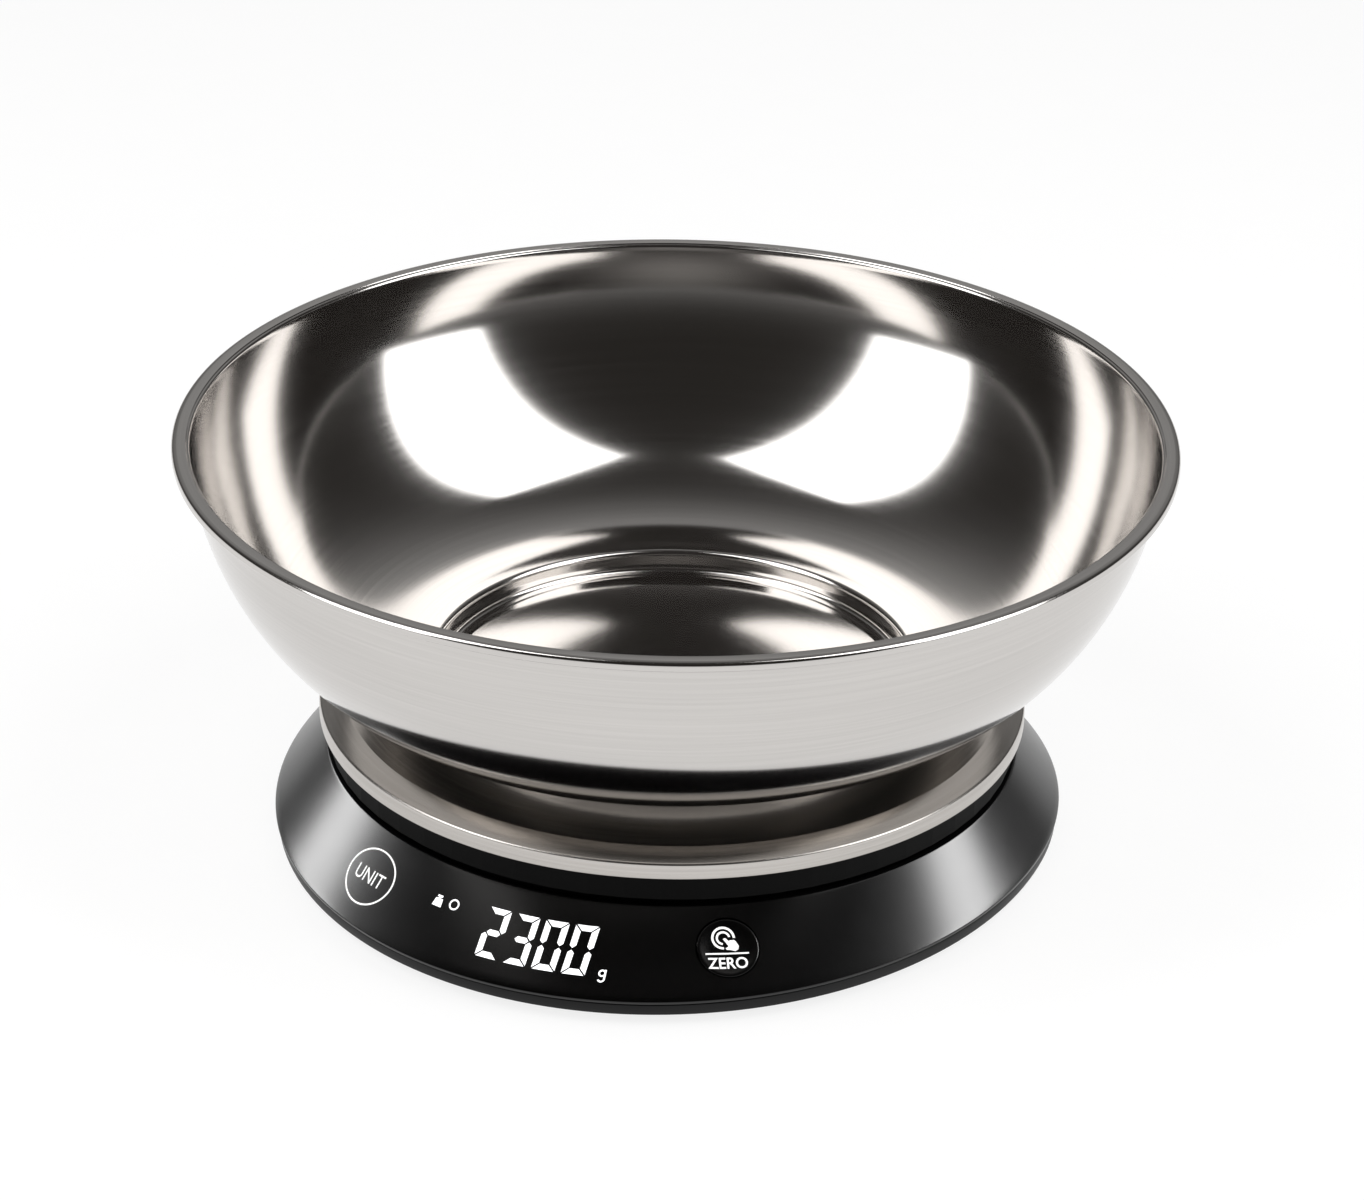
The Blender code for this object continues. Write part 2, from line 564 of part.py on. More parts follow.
bright_steel = make_material("bright_steel", (0.62, 0.61, 0.60), 0.22, 1.0)
brushed_steel = make_material("brushed_steel", (0.58, 0.56, 0.54), 0.3, 1.0)
gloss_black = make_material("gloss_black", (0.008, 0.008, 0.009), 0.16)
black_plastic = make_material("black_plastic", (0.012, 0.012, 0.013), 0.5)
rubber = make_material("rubber", (0.02, 0.02, 0.02), 0.85)
aluminium = make_material("aluminium", (0.75, 0.76, 0.78), 0.35, 1.0)
zinc = make_material("zinc", (0.6, 0.62, 0.65), 0.35, 1.0)
nickel = make_material("nickel", (0.7, 0.69, 0.65), 0.3, 1.0)
copper = make_material("copper", (0.72, 0.43, 0.26), 0.35, 1.0)
silicone = make_material("silicone", (0.85, 0.85, 0.82), 0.5)
circuit_green = make_material("circuit_green", (0.02, 0.16, 0.05), 0.4)
chip_black = make_material("chip_black", (0.02, 0.02, 0.02), 0.5)
display_black = make_material("display_black", (0.01, 0.01, 0.01), 0.25)
ivory_plastic = make_material("ivory_plastic", (0.8, 0.77, 0.68), 0.5)
battery_jacket = make_material("battery_jacket", (0.08, 0.1, 0.13), 0.35)
white_insulation = make_material("white_insulation", (0.8, 0.8, 0.8), 0.5)
red_insulation = make_material("red_insulation", (0.5, 0.02, 0.02), 0.5)
black_insulation = make_material("black_insulation", (0.02, 0.02, 0.02), 0.5)

make_bowl()
make_platform()
make_body()
make_bottom_cover()
make_load_cell()
make_electronics()
make_zero_button()
make_batteries()
make_wires()
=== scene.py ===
# Round kitchen scale with a lift-off steel bowl: its finishes, printed marks, light and camera.

import math

import bpy
from mathutils import Matrix, Vector


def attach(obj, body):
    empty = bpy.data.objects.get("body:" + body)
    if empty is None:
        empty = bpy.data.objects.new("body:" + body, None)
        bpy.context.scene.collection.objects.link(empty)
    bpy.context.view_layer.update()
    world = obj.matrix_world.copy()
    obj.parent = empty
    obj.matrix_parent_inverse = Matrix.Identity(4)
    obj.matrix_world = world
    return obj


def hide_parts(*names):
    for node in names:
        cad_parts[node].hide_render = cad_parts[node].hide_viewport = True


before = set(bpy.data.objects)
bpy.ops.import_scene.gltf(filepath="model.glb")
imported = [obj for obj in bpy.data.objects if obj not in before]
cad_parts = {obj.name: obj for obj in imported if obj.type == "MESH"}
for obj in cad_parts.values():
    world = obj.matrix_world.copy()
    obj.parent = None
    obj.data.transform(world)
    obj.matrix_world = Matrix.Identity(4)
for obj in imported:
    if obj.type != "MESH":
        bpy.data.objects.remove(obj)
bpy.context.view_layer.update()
bpy.ops.object.select_all(action="DESELECT")

mm = 0.001
perMm = 1000  # turns steps to the millimetre into steps to the metre


def linearColour(hexCode):
    channels = [int(hexCode[i:i + 2], 16) / 255 for i in (1, 3, 5)]
    return tuple(c / 12.92 if c <= 0.04045 else ((c + 0.055) / 1.055) ** 2.4 for c in channels) + (1.0,)


def addNode(tree, kind, settings=None, links=None):
    node = tree.nodes.new(kind)
    for name, value in (settings or {}).items():
        if isinstance(name, str) and hasattr(node, name):
            setattr(node, name, value)
        else:
            node.inputs[name].default_value = value
    for name, source in (links or {}).items():
        tree.links.new(source, node.inputs[name])
    return node


def newFinish(name, colour, metallic=0.0, roughness=0.5, **sockets):
    finish = bpy.data.materials.new(name)
    finish.use_nodes = True
    tree = finish.node_tree
    shader = tree.nodes["Principled BSDF"]
    shader.inputs["Base Color"].default_value = linearColour(colour)
    shader.inputs["Metallic"].default_value = metallic
    shader.inputs["Roughness"].default_value = roughness
    for socket, value in sockets.items():
        shader.inputs[socket.replace("_", " ")].default_value = value
    place = addNode(tree, "ShaderNodeTexCoord").outputs["Object"]
    return finish, tree, shader, place


def wearFinish(tree, shader, pattern, colours, roughness, bump=None, distance=0.00002):
    # a grey pattern moves the colour and the roughness a little, and may raise the surface
    low, high = colours
    tint = addNode(tree, "ShaderNodeMix", {"data_type": "RGBA"})
    tint.inputs[6].default_value = linearColour(low)
    tint.inputs[7].default_value = linearColour(high)
    tree.links.new(pattern, tint.inputs[0])
    tree.links.new(tint.outputs[2], shader.inputs["Base Color"])
    spread = addNode(tree, "ShaderNodeMapRange", {"To Min": roughness[0], "To Max": roughness[1]},
                     {"Value": pattern})
    tree.links.new(spread.outputs["Result"], shader.inputs["Roughness"])
    if bump:
        raised = addNode(tree, "ShaderNodeBump", {"Strength": bump, "Distance": distance},
                         {"Height": pattern})
        tree.links.new(raised.outputs["Normal"], shader.inputs["Normal"])


def rounded(corners, steps=6):
    # an outline of (r, z, corner radius) in mm, with each corner turned into an arc
    points = []
    for i, (r, z, radius) in enumerate(corners):
        here = Vector((r, z))
        if not radius:
            points.append(here)
            continue
        before = (Vector(corners[i - 1][:2]) - here).normalized()
        after = (Vector(corners[(i + 1) % len(corners)][:2]) - here).normalized()
        half = before.angle(after) / 2
        centre = here + (before + after).normalized() * radius / math.sin(half)
        start = here + before * radius / math.tan(half) - centre
        end = here + after * radius / math.tan(half) - centre
        for step in range(steps + 1):
            points.append(centre + start.slerp(end, step / steps) * radius)
    return points


def finishedMesh(piece, angle=30):
    bpy.ops.object.mode_set(mode="OBJECT")
    bpy.ops.object.transform_apply(location=True, rotation=True, scale=True)
    bpy.ops.object.shade_smooth_by_angle(angle=math.radians(angle))
    bpy.ops.object.select_all(action="DESELECT")
    return piece


def spun(name, outline, closed=False, steps=192, angle=30):
    # an outline drawn point by point with extrude, then spun about the weighing axis
    bpy.ops.object.select_all(action="DESELECT")
    bpy.ops.mesh.primitive_plane_add(size=mm, location=(0, 0, 0))
    piece = bpy.context.object
    piece.name = name
    bpy.ops.object.mode_set(mode="EDIT")
    bpy.ops.mesh.merge(type="CENTER")
    bpy.ops.transform.translate(value=(outline[0][0] * mm, 0, outline[0][1] * mm))
    for here, there in zip(outline, outline[1:]):
        step = (there - here) * mm
        bpy.ops.mesh.extrude_region_move(TRANSFORM_OT_translate={"value": (step[0], 0, step[1])})
    bpy.ops.object.mode_set(mode="OBJECT")
    if closed:
        for point in piece.data.vertices:
            point.select = point.index in (0, len(piece.data.vertices) - 1)
        bpy.ops.object.mode_set(mode="EDIT")
        bpy.ops.mesh.edge_face_add()
    bpy.ops.object.mode_set(mode="EDIT")
    bpy.ops.mesh.select_all(action="SELECT")
    bpy.ops.mesh.spin(steps=steps, angle=2 * math.pi, center=(0, 0, 0), axis=(0, 0, 1))
    bpy.ops.mesh.select_all(action="SELECT")
    bpy.ops.mesh.remove_doubles(threshold=0.000002)
    bpy.ops.mesh.normals_make_consistent(inside=False)
    return finishedMesh(piece, angle)


def cutWith(piece, tools, operation="DIFFERENCE"):
    for tool in tools:
        cut = piece.modifiers.new("Cut", "BOOLEAN")
        cut.object = tool
        cut.operation = operation
        cut.solver = "EXACT"
        bpy.context.view_layer.objects.active = piece
        bpy.ops.object.modifier_apply(modifier=cut.name)
        bpy.data.objects.remove(tool)


def block(size, centre, turn=None):
    bpy.ops.mesh.primitive_cube_add(size=1, location=(0, 0, 0))
    tool = bpy.context.object
    tool.scale = [s * mm for s in size]
    tool.matrix_world = Matrix.Translation(Vector(centre) * mm) @ (turn or Matrix()) @ tool.matrix_basis
    return tool


def rod(radius, low, high, x, y, sides=64):
    bpy.ops.mesh.primitive_cylinder_add(vertices=sides, radius=radius * mm, depth=(high - low) * mm,
                                        location=(x * mm, y * mm, (low + high) / 2 * mm))
    return bpy.context.object


def dress(piece, finish, body, stands=()):
    piece.data.materials.clear()
    piece.data.materials.append(finish)
    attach(piece, body)
    if stands:
        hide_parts(*stands)
    return piece


# The camera stands so many degrees round and above the object, so many metres away, and aims at a point
# so many metres right of its middle and up. The lens is in mm and the roll in degrees.
view = {"side": 19.0, "height": 29.56, "reach": 1.1, "aimRight": 0.00203, "aimUp": 0.0559,
        "lens": 116.4, "roll": 0.97}
toCamera = Vector((math.sin(math.radians(view["side"])), -math.cos(math.radians(view["side"])), 0))
toRight = Vector((-toCamera.y, toCamera.x, 0))


def fromCamera(right, near, up):
    return toRight * right + toCamera * near + Vector((0, 0, up))


bpy.ops.object.camera_add()
camera = bpy.context.object
camera.data.lens = view["lens"]
camera.data.sensor_width = 36
camera.data.clip_end = 30
rise = math.radians(view["height"])
camera.location = fromCamera(0, view["reach"] * math.cos(rise), view["reach"] * math.sin(rise))
aim = fromCamera(view["aimRight"], 0, view["aimUp"]) - camera.location
camera.rotation_mode = "QUATERNION"
camera.rotation_quaternion = (aim.to_track_quat("-Z", "Y").to_matrix()
                              @ Matrix.Rotation(math.radians(view["roll"]), 3, "Z")).to_quaternion()
bpy.context.scene.camera = camera
bpy.context.scene.view_settings.view_transform = "Standard"

# Where each softbox hangs, in metres right, near and up as the camera sees the object, the way its long
# side runs, its size in metres and its power in watts. The bowl and the black ring have their own pairs.
softboxes = {
    "bowlBoxLeft": {"centre": (-0.80, 0.25, 0.85), "tall": (0.60, -0.43, 0.743),
                    "size": (0.68, 1.6), "power": 11.5},
    "bowlBoxRight": {"centre": (0.80, 0.25, 0.83), "tall": (-0.60, -0.43, 0.743),
                     "size": (0.68, 1.55), "power": 11},
    "ringBoxLeft": {"centre": (-0.90, -0.59, 0.53), "tall": (0.657, -0.55, 0.515),
                    "size": (0.34, 0.9), "power": 15},
    "ringBoxRight": {"centre": (1.05, -0.20, 0.55), "tall": (-0.459, -0.603, 0.659),
                     "size": (0.34, 0.9), "power": 20},
}
boxAimHeight = 0.06  # all of them face this height on the weighing axis, in metres


def placeSoftbox(name):
    lampSet = softboxes[name]
    centre = fromCamera(*lampSet["centre"])
    facing = (centre - Vector((0, 0, boxAimHeight))).normalized()
    tall = fromCamera(*lampSet["tall"])
    tall = (tall - facing * tall.dot(facing)).normalized()
    wide = tall.cross(facing)
    bpy.ops.object.light_add(type="AREA")
    lamp = bpy.context.object
    lamp.name = name
    lamp.data.shape = "RECTANGLE"
    lamp.data.size, lamp.data.size_y = lampSet["size"]
    lamp.data.energy = lampSet["power"]
    lamp.matrix_world = Matrix.Translation(centre) @ Matrix((wide, tall, facing)).transposed().to_4x4()
    return lamp


def lightOnly(lamps, pieces, keep):
    # the lamps light only these pieces, or everything but them
    chosen = bpy.data.collections.new("litPieces" if keep else "unlitPieces")
    for number, piece in enumerate(pieces):
        chosen.objects.link(piece)
        chosen.collection_objects[number].light_linking.link_state = "INCLUDE" if keep else "EXCLUDE"
    for lamp in lamps:
        lamp.light_linking.receiver_collection = chosen


lamps = {name: placeSoftbox(name) for name in softboxes}

# a dim room, with a soft glow along the horizon and another high behind the object
glow = {"base": "#302E2C", "backAim": (0, -0.788, 0.616), "backPower": 7, "back": 0.36, "horizonPower": 12,
        "horizon": 0.30}
studio = bpy.data.worlds.new("studio")
bpy.context.scene.world = studio
studio.use_nodes = True
tree = studio.node_tree
heading = addNode(tree, "ShaderNodeTexCoord").outputs["Generated"]
backAim = fromCamera(*glow["backAim"])
nearness = addNode(tree, "ShaderNodeVectorMath", {"operation": "DOT_PRODUCT", 1: backAim}, {0: heading})
nearness = addNode(tree, "ShaderNodeMath", {"operation": "MAXIMUM", 1: 0.0}, {0: nearness.outputs["Value"]})
nearness = addNode(tree, "ShaderNodeMath", {"operation": "POWER", 1: glow["backPower"]},
                   {0: nearness.outputs[0]})
backGlow = addNode(tree, "ShaderNodeMath", {"operation": "MULTIPLY", 1: glow["back"]},
                   {0: nearness.outputs[0]})
height = addNode(tree, "ShaderNodeSeparateXYZ", links={"Vector": heading})
lowness = addNode(tree, "ShaderNodeMath", {"operation": "SUBTRACT", "use_clamp": True, 0: 1.0},
                  {1: height.outputs["Z"]})
lowness = addNode(tree, "ShaderNodeMath", {"operation": "POWER", 1: glow["horizonPower"]},
                  {0: lowness.outputs[0]})
allGlow = addNode(tree, "ShaderNodeMath", {"operation": "MULTIPLY_ADD", 1: glow["horizon"]},
                  {0: lowness.outputs[0], 2: backGlow.outputs[0]})
sky = addNode(tree, "ShaderNodeVectorMath", {"operation": "ADD", 0: linearColour(glow["base"])[:3]},
              {1: allGlow.outputs[0]})
tree.links.new(sky.outputs["Vector"], tree.nodes["Background"].inputs["Color"])

# Rolled white paper: matt, and lit from below so that it stays near white. The mottling is in 17 mm
# patches, much coarser than real fibres, so that it shows.
paper = {"size": 30, "height": -0.0002, "glow": 0.83}
bpy.ops.mesh.primitive_plane_add(size=paper["size"], location=(0, 0, paper["height"]))
floor = bpy.context.object
floor.name = "floor"
floorFinish, tree, shader, place = newFinish("whitePaperFloor", "#828282", roughness=0.9)
shader.inputs["Emission Color"].default_value = (1, 1, 1, 1)
shader.inputs["Emission Strength"].default_value = paper["glow"]
shader.inputs["Specular IOR Level"].default_value = 0.0
fibres = addNode(tree, "ShaderNodeTexNoise", {"Scale": 0.06 * perMm, "Detail": 3}, {"Vector": place})
wearFinish(tree, shader, fibres.outputs["Fac"], ("#808080", "#848484"), (0.88, 0.92))
floor.data.materials.append(floorFinish)
print("camera, light and floor are placed")


def ringStreaks(tree, place, pitch, length):
    # fine lines round the axis: quick change outwards and upwards, slow change along the ring
    parts = addNode(tree, "ShaderNodeSeparateXYZ", links={"Vector": place})
    flat = addNode(tree, "ShaderNodeCombineXYZ", links={"X": parts.outputs["X"], "Y": parts.outputs["Y"]})
    reach = addNode(tree, "ShaderNodeVectorMath", {"operation": "LENGTH"}, {0: flat.outputs["Vector"]})
    across = addNode(tree, "ShaderNodeMath", {"operation": "ADD"},
                     {0: reach.outputs["Value"], 1: parts.outputs["Z"]})
    lines = addNode(tree, "ShaderNodeMath", {"operation": "MULTIPLY", 1: 1 / pitch},
                    {0: across.outputs["Value"]})
    near = addNode(tree, "ShaderNodeVectorMath", {"operation": "SCALE", "Scale": 1 / length},
                   {0: flat.outputs["Vector"]})
    split = addNode(tree, "ShaderNodeSeparateXYZ", links={"Vector": near.outputs["Vector"]})
    spot = addNode(tree, "ShaderNodeCombineXYZ", links={"X": split.outputs["X"], "Y": split.outputs["Y"],
                                                        "Z": lines.outputs["Value"]})
    return addNode(tree, "ShaderNodeTexNoise", {"Scale": 1.0, "Detail": 2.0},
                   {"Vector": spot.outputs["Vector"]})


# Ring lines of 0.7 mm, coarser than the real tenth of a millimetre so that they show.
steelLine = {"pitch": 0.7 * mm, "length": 60 * mm}

# Stainless steel, pressed to shape and then polished while it spins: clear bright reflections, drawn
# out across faint ring lines.
spunSteel, tree, shader, place = newFinish("spunStainlessSteel", "#C8C5C2", 1.0, 0.11, Anisotropic=0.4)
streaks = ringStreaks(tree, place, steelLine["pitch"], steelLine["length"])
wearFinish(tree, shader, streaks.outputs["Fac"], ("#C2BFBC", "#CFCCC9"), (0.09, 0.13), 0.03, 0.00001)
turning = addNode(tree, "ShaderNodeTangent", {"direction_type": "RADIAL", "axis": "Z"})
tree.links.new(turning.outputs["Tangent"], shader.inputs["Tangent"])

# Stainless sheet, pressed and brushed while it spins: duller and a little darker than the bowl, with
# blurred reflections.
plateSteel, tree, shader, place = newFinish("turnedStainlessPlate", "#BFBBB7", 1.0, 0.24, Anisotropic=0.6)
streaks = ringStreaks(tree, place, steelLine["pitch"], steelLine["length"])
wearFinish(tree, shader, streaks.outputs["Fac"], ("#B0ACA7", "#CAC6C2"), (0.2, 0.29))
turning = addNode(tree, "ShaderNodeTangent", {"direction_type": "RADIAL", "axis": "Z"})
tree.links.new(turning.outputs["Tangent"], shader.inputs["Tangent"])

# Injection-moulded ABS with a hard coat: near black, with broad soft reflections and a faint haze
# that changes every 11 mm.
glossBlack, tree, shader, place = newFinish("glossBlackAbs", "#030303", 0.0, 0.26, IOR=1.43)
haze = addNode(tree, "ShaderNodeTexNoise", {"Scale": 0.09 * perMm, "Detail": 4, "Roughness": 0.6},
               {"Vector": place})
wearFinish(tree, shader, haze.outputs["Fac"], ("#020202", "#040405"), (0.24, 0.28))

# Spark-textured moulded ABS: matt black that swallows light, with a 0.4 mm grit.
texturedBlack, tree, shader, place = newFinish("texturedBlackAbs", "#060606", 0.0, 0.6, IOR=1.22)
grit = addNode(tree, "ShaderNodeTexNoise", {"Scale": 2.5 * perMm, "Detail": 3}, {"Vector": place})
wearFinish(tree, shader, grit.outputs["Fac"], ("#050505", "#080808"), (0.55, 0.7), 0.25, 0.00003)

# Satin moulded ABS of the lower case: a shade lighter than the ring above it, with a 0.45 mm grit.
satinBlack, tree, shader, place = newFinish("satinBlackAbs", "#0D0D0E", 0.0, 0.42, IOR=1.3)
grit = addNode(tree, "ShaderNodeTexNoise", {"Scale": 2.2 * perMm, "Detail": 3}, {"Vector": place})
wearFinish(tree, shader, grit.outputs["Fac"], ("#0B0B0C", "#111112"), (0.38, 0.5), 0.2, 0.00003)

# Moulded rubber: matt, dusty black, with 1.4 mm specks.
footRubber, tree, shader, place = newFinish("mouldedRubber", "#1B1B1B", 0.0, 0.85)
dust = addNode(tree, "ShaderNodeTexNoise", {"Scale": 0.7 * perMm, "Detail": 5}, {"Vector": place})
wearFinish(tree, shader, dust.outputs["Fac"], ("#161616", "#242424"), (0.8, 0.95), 0.3, 0.00004)

# Screen-printed epoxy ink: crisp flat white, with a quarter-millimetre mesh grain and a painted glow, though
# the ink is no lamp.
inkWithPaintedGlow, tree, shader, place = newFinish("whitePrintedInkPaintedGlow", "#F4F4F2", 0.0, 0.5)
shader.inputs["Emission Color"].default_value = (1, 1, 1, 1)
shader.inputs["Emission Strength"].default_value = 0.55  # painted glow: keeps the ink white where little light falls
grain = addNode(tree, "ShaderNodeTexNoise", {"Scale": 4 * perMm, "Detail": 2}, {"Vector": place})
wearFinish(tree, shader, grain.outputs["Fac"], ("#F0F0EE", "#F8F8F6"), (0.45, 0.55))

# White LED light shining through thin black ABS: bright, even and a little cold.
litSegment, tree, shader, place = newFinish("whiteLedLight", "#F6F7F8", 0.0, 0.4)
shader.inputs["Emission Color"].default_value = linearColour("#FDFEFF")
shader.inputs["Emission Strength"].default_value = 0.95  # lit, but not glaring
grain = addNode(tree, "ShaderNodeTexNoise", {"Scale": 0.9 * perMm, "Detail": 2}, {"Vector": place})
wearFinish(tree, shader, grain.outputs["Fac"], ("#F0F2F4", "#FAFBFC"), (0.35, 0.45))


def plainFinish(name, low, high, metallic, roughness, grains, bump):
    # an even finish with so many grains to the millimetre, coarser than real ones so that they show
    finish, tree, shader, place = newFinish(name, low, metallic, roughness[0])
    grain = addNode(tree, "ShaderNodeTexNoise", {"Scale": grains * perMm, "Detail": 4}, {"Vector": place})
    wearFinish(tree, shader, grain.outputs["Fac"], (low, high), roughness, bump)
    return finish


innerFinishes = {
    # sheet and screws, barrel plated: cool, soft sparkle
    "zincPlate": plainFinish("zincPlatedSteel", "#B9BEC4", "#CFD3D8", 1.0, (0.28, 0.42), 0.9, 0.1),
    # milled bar: pale, fine satin
    "milledAluminium": plainFinish("milledAluminium", "#C9CCD0", "#DDDFE2", 1.0, (0.3, 0.45), 0.7, 0.15),
    # poured over the gauges: milky, soft shine
    "whiteSilicone": plainFinish("castSilicone", "#E6E5DF", "#F0EFEA", 0.0, (0.45, 0.6), 0.3, 0.1),
    # sprayed and cured: glassy green
    "circuitBoard": plainFinish("greenSolderMask", "#0E5A2C", "#176B37", 0.0, (0.3, 0.45), 0.5, 0.1),
    # moulded epoxy: dull charcoal
    "chipEpoxy": plainFinish("mouldedEpoxy", "#151515", "#202020", 0.0, (0.5, 0.65), 1.5, 0.15),
    # moulded nylon: warm off-white
    "ivoryNylon": plainFinish("ivoryNylon", "#DCD5C0", "#E8E2D0", 0.0, (0.4, 0.55), 0.8, 0.1),
    # drawn wire and stamped strip, nickel plated: warm bright grey
    "nickelSpring": plainFinish("nickelPlatedSteel", "#CBC8BF", "#DDDAD2", 1.0, (0.22, 0.35), 0.8, 0.1),
    # stamped phosphor bronze: orange metal
    "bronzeSpring": plainFinish("phosphorBronze", "#C98B5E", "#D79A6E", 1.0, (0.28, 0.4), 0.8, 0.1),
    # shrunk PVC film: smooth blue-grey
    "batterySleeve": plainFinish("shrinkSleeve", "#232B33", "#2E3740", 0.0, (0.25, 0.35), 0.2, 0.05),
    # extruded PVC: smooth and soft
    "whitePvc": plainFinish("whitePvc", "#DEDEDC", "#EAEAE8", 0.0, (0.4, 0.55), 0.4, 0.1),
    "redPvc": plainFinish("redPvc", "#A81518", "#B82024", 0.0, (0.4, 0.55), 0.4, 0.1),
    "blackPvc": plainFinish("blackPvc", "#161616", "#202020", 0.0, (0.4, 0.55), 0.4, 0.1),
}
innerNodes = {
    "zincPlate": ("load_cell_top_pad", "platform_screw_1", "platform_screw_2", "case_screw_1",
                  "case_screw_2", "case_screw_3", "case_screw_4", "load_cell_base_pad",
                  "load_cell_screw_1", "load_cell_screw_2", "board_screw_1", "board_screw_2"),
    "milledAluminium": ("load_cell",),
    "whiteSilicone": ("strain_gauge_coating",),
    "circuitBoard": ("main_board", "display_board", "key_board", "touch_board"),
    "chipEpoxy": ("controller_chip", "display_module", "zero_switch"),
    "ivoryNylon": ("display_connector",),
    "nickelSpring": ("battery_spring_1", "battery_spring_2", "battery_spring_3", "battery_terminal_minus",
                     "battery_terminal_plus", "battery_bridge_left", "battery_bridge_right"),
    "bronzeSpring": ("unit_touch_pad", "unit_touch_spring"),
    "batterySleeve": ("battery_1", "battery_2", "battery_3"),
    "whitePvc": ("load_cell_cable", "display_cable"),
    "redPvc": ("battery_wire_red",),
    "blackPvc": ("battery_wire_black",),
}
for finishName, nodeNames in innerNodes.items():
    for nodeName in nodeNames:
        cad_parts[nodeName].data.materials.clear()
        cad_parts[nodeName].data.materials.append(innerFinishes[finishName])
for nodeName in ("platform_tray", "upper_housing", "battery_door"):
    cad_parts[nodeName].data.materials.clear()
    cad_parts[nodeName].data.materials.append(texturedBlack)
print("finishes are mixed")

# Sizes in mm. The wall is a curve's four handles from the rim down, and each outline is a list of
# radius, height and corner radius.
bowl = {"wall": ((116.4, 99.6), (113.6, 71.2), (94.0, 40.2), (59.9, 39.4)), "sheet": 0.8, "floor": 35.2,
        "foot": 59.0, "bottom": 33.95, "rim": 120.0, "top": 101.7,
        "pocket": [(55.8, 34.75, 0.8), (58.2, 34.75, 1.3), (58.2, 40.25, 1.4), (62.0, 40.3, 0)],
        "rimTop": [(115.75, 101.35, 0.8), (116.35, 101.35, 0.2), (116.55, 101.62, 0.15)],
        "rimUnder": [(119.2, 99.3, 0.3), (118.9, 100.7, 0.5), (117.0, 100.9, 0.6), (116.5, 99.8, 0)],
        "footCorner": (39.35, 0.45, 1.9), "footUnder": [(53.6, 34.4, 0.8), (0, 34.4, 0)]}


def bowlWall(offset, steps=40):
    # the pressed wall from the rim down to the foot, moved inwards by offset
    a, b, c, d = [Vector(p) for p in bowl["wall"]]
    points = []
    for step in range(steps + 1):
        t = step / steps
        u = 1 - t
        place = a * u ** 3 + b * 3 * u * u * t + c * 3 * u * t * t + d * t ** 3
        run = ((b - a) * u * u + (c - b) * 2 * u * t + (d - c) * t * t).normalized()
        points.append(place + Vector((run.y, -run.x)) * offset)
    return points


def makeBowl():
    foot = bowl["foot"]
    inner = rounded([(0, bowl["floor"], 0), (54.2, bowl["floor"], 1.6)] + bowl["pocket"])[:-1]
    wallIn = [p for p in reversed(bowlWall(bowl["sheet"])) if p.x > inner[-1].x + 0.8]
    rim = rounded([wallIn[-1].to_tuple() + (0,)] + bowl["rimTop"]
                  + [(118.7, bowl["top"], 1.2), (bowl["rim"], 101.35, 0.9), (bowl["rim"], 99.35, 0.5)]
                  + bowl["rimUnder"], 5)[1:-1]
    wallOut = [p for p in bowlWall(0) if p.x > foot + 1.2]
    crease, creaseRadius, footRadius = bowl["footCorner"]
    outer = rounded([wallOut[-1].to_tuple() + (0,), (foot + 0.05, crease, creaseRadius),
                     (foot, bowl["bottom"], footRadius), (55.4, bowl["bottom"], 0.8)] + bowl["footUnder"])[1:]
    outline = inner + wallIn + rim + wallOut + outer
    shell = spun("mixingBowl", outline, steps=256, angle=40)
    dress(shell, spunSteel, "bowl", ("bowl",))


makeBowl()
print("bowl is spun")

# sizes in mm
platform = {"top": 33.6, "flat": 80.6, "radius": 86.6, "skirt": 28.0, "sheet": 0.8}


def makePlatform():
    top = platform["top"]
    edge = platform["radius"]
    sheet = platform["sheet"]
    outline = rounded([(0, top, 0), (platform["flat"], top, 1.2), (edge - 0.1, top - 1.55, 0.7),
                       (edge, platform["skirt"], 0.3), (edge - sheet, platform["skirt"], 0.3),
                       (edge - sheet, top - 2.2, 0.4), (platform["flat"] - 0.1, top - sheet, 0.8),
                       (0, top - sheet, 0)], 5)
    disc = spun("weighingPlate", outline, steps=256)
    dress(disc, plateSteel, "platform", ("platform_plate",))


makePlatform()
print("platform is spun")

# sizes in mm; the front of the ring reaches further out by the share in stretch
ring = {"neck": 85.0, "top": 20.3, "foot": 96.3, "footHeight": 6.5, "stretch": 0.10, "seam": 5.6,
        "lip": 83.4, "lipBottom": 18.4, "zeroAngle": 28.5, "middle": 0.47, "zeroRadius": 7.2}


def ringPoint(angle, down, out=0.0):
    # a place on the sloping ring in mm: angle from the front, down from 0 at the neck to 1 at the foot
    radius = ring["neck"] + down * (ring["foot"] - ring["neck"])
    height = ring["top"] + down * (ring["footHeight"] - ring["top"])
    place = Vector((radius * math.sin(math.radians(angle)), -radius * math.cos(math.radians(angle)), height))
    if place.y < 0:
        place.y *= 1 + ring["stretch"] * down
    if out:
        place += ringTurn(angle, down).to_3x3() @ Vector((0, 0, out))
    return place


def ringTurn(angle, down):
    # axes on the slope: X along the ring, Y up the slope, Z out of it
    along = (ringPoint(angle + 1, down) - ringPoint(angle - 1, down)).normalized()
    uphill = (ringPoint(angle, down - 0.01) - ringPoint(angle, down + 0.01)).normalized()
    out = along.cross(uphill).normalized()
    return Matrix((along, out.cross(along), out)).transposed().to_4x4()


def stretchFront(piece):
    # draws the ring out towards the user, leaving the neck where it is
    for point in piece.data.vertices:
        if point.co.y < 0:
            radius = math.hypot(point.co.x, point.co.y) / mm
            share = (radius - ring["neck"]) / (ring["foot"] - ring["neck"])
            point.co.y *= 1 + ring["stretch"] * min(max(share, 0), 1.1)


